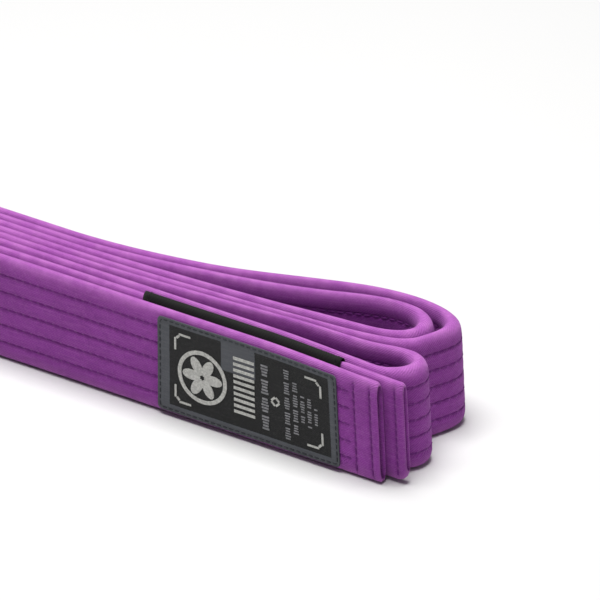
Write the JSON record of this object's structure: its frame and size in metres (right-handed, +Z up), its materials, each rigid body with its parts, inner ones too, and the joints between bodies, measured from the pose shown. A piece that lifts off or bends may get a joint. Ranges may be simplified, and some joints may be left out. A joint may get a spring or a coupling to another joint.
{
  "type": "martial arts belt",
  "caption": "Stitched cotton martial arts belt with a rank bar and a woven label, folded flat and standing on its long edge.",
  "frame": {"origin": "on the floor under the middle of the folded belt's box", "axes": "+X along the strands towards the two tips, +Y from the labelled front strand to the back strand, +Z up across the belt's width"},
  "size_m": [0.3546, 0.0608, 0.0407],
  "materials": {
    "cover_cotton": "purple cotton twill, quilted by rows of stitching",
    "core_webbing": "undyed cotton webbing",
    "belt_thread": "purple sewing thread",
    "rank_bar_cotton": "black cotton twill",
    "rank_bar_thread": "black sewing thread",
    "label_weave": "black and grey satin-woven label",
    "label_thread": "grey sewing thread"
  },
  "bodies": {
    "root": {"belt_cover": "cover_cotton", "core_ply_1": "core_webbing", "core_ply_2": "core_webbing", "core_ply_3": "core_webbing", "needle_row_1": "belt_thread", "bobbin_row_1": "belt_thread", "needle_row_2": "belt_thread", "bobbin_row_2": "belt_thread", "needle_row_3": "belt_thread", "bobbin_row_3": "belt_thread", "needle_row_4": "belt_thread", "bobbin_row_4": "belt_thread", "needle_row_5": "belt_thread", "bobbin_row_5": "belt_thread", "tip_1_seam_1_front": "belt_thread", "tip_1_seam_1_back": "belt_thread", "tip_1_seam_2_front": "belt_thread", "tip_1_seam_2_back": "belt_thread", "tip_2_seam_1_front": "belt_thread", "tip_2_seam_1_back": "belt_thread", "tip_2_seam_2_front": "belt_thread", "tip_2_seam_2_back": "belt_thread", "rank_bar": "rank_bar_cotton", "rank_bar_seam_1": "rank_bar_thread", "rank_bar_seam_2": "rank_bar_thread", "woven_label": "label_weave", "label_seam": "label_thread"}
  },
  "joints": []
}
